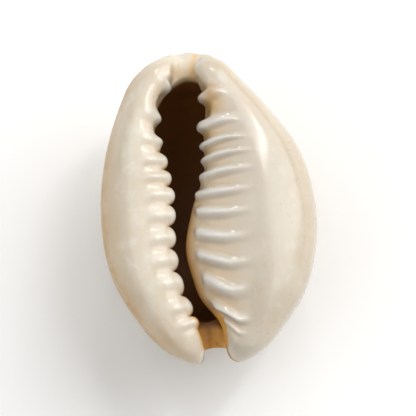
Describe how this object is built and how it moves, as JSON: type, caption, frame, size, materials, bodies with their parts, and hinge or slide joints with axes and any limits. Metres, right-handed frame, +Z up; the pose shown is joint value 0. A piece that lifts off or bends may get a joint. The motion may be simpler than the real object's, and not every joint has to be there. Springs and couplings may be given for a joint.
{
  "type": "cowrie shell",
  "caption": "Ring cowrie shell lying on its rounded back, its long slit mouth facing up between two lips edged with ridged teeth, with a short canal at each end.",
  "frame": {"origin": "centre of the bounding box at its base, on the surface the shell rests on", "axes": "+Y toward the front (anterior) end, +X toward the broad lip beside the columella, -X toward the narrow outer lip, +Z up out of the mouth"},
  "size_m": [0.0152, 0.0226, 0.0119],
  "materials": {
    "shell": "glossy cream enamel, dark inside the mouth, a thin gold ring on the domed back"
  },
  "bodies": {
    "root": {"shell": "shell"}
  },
  "joints": []
}
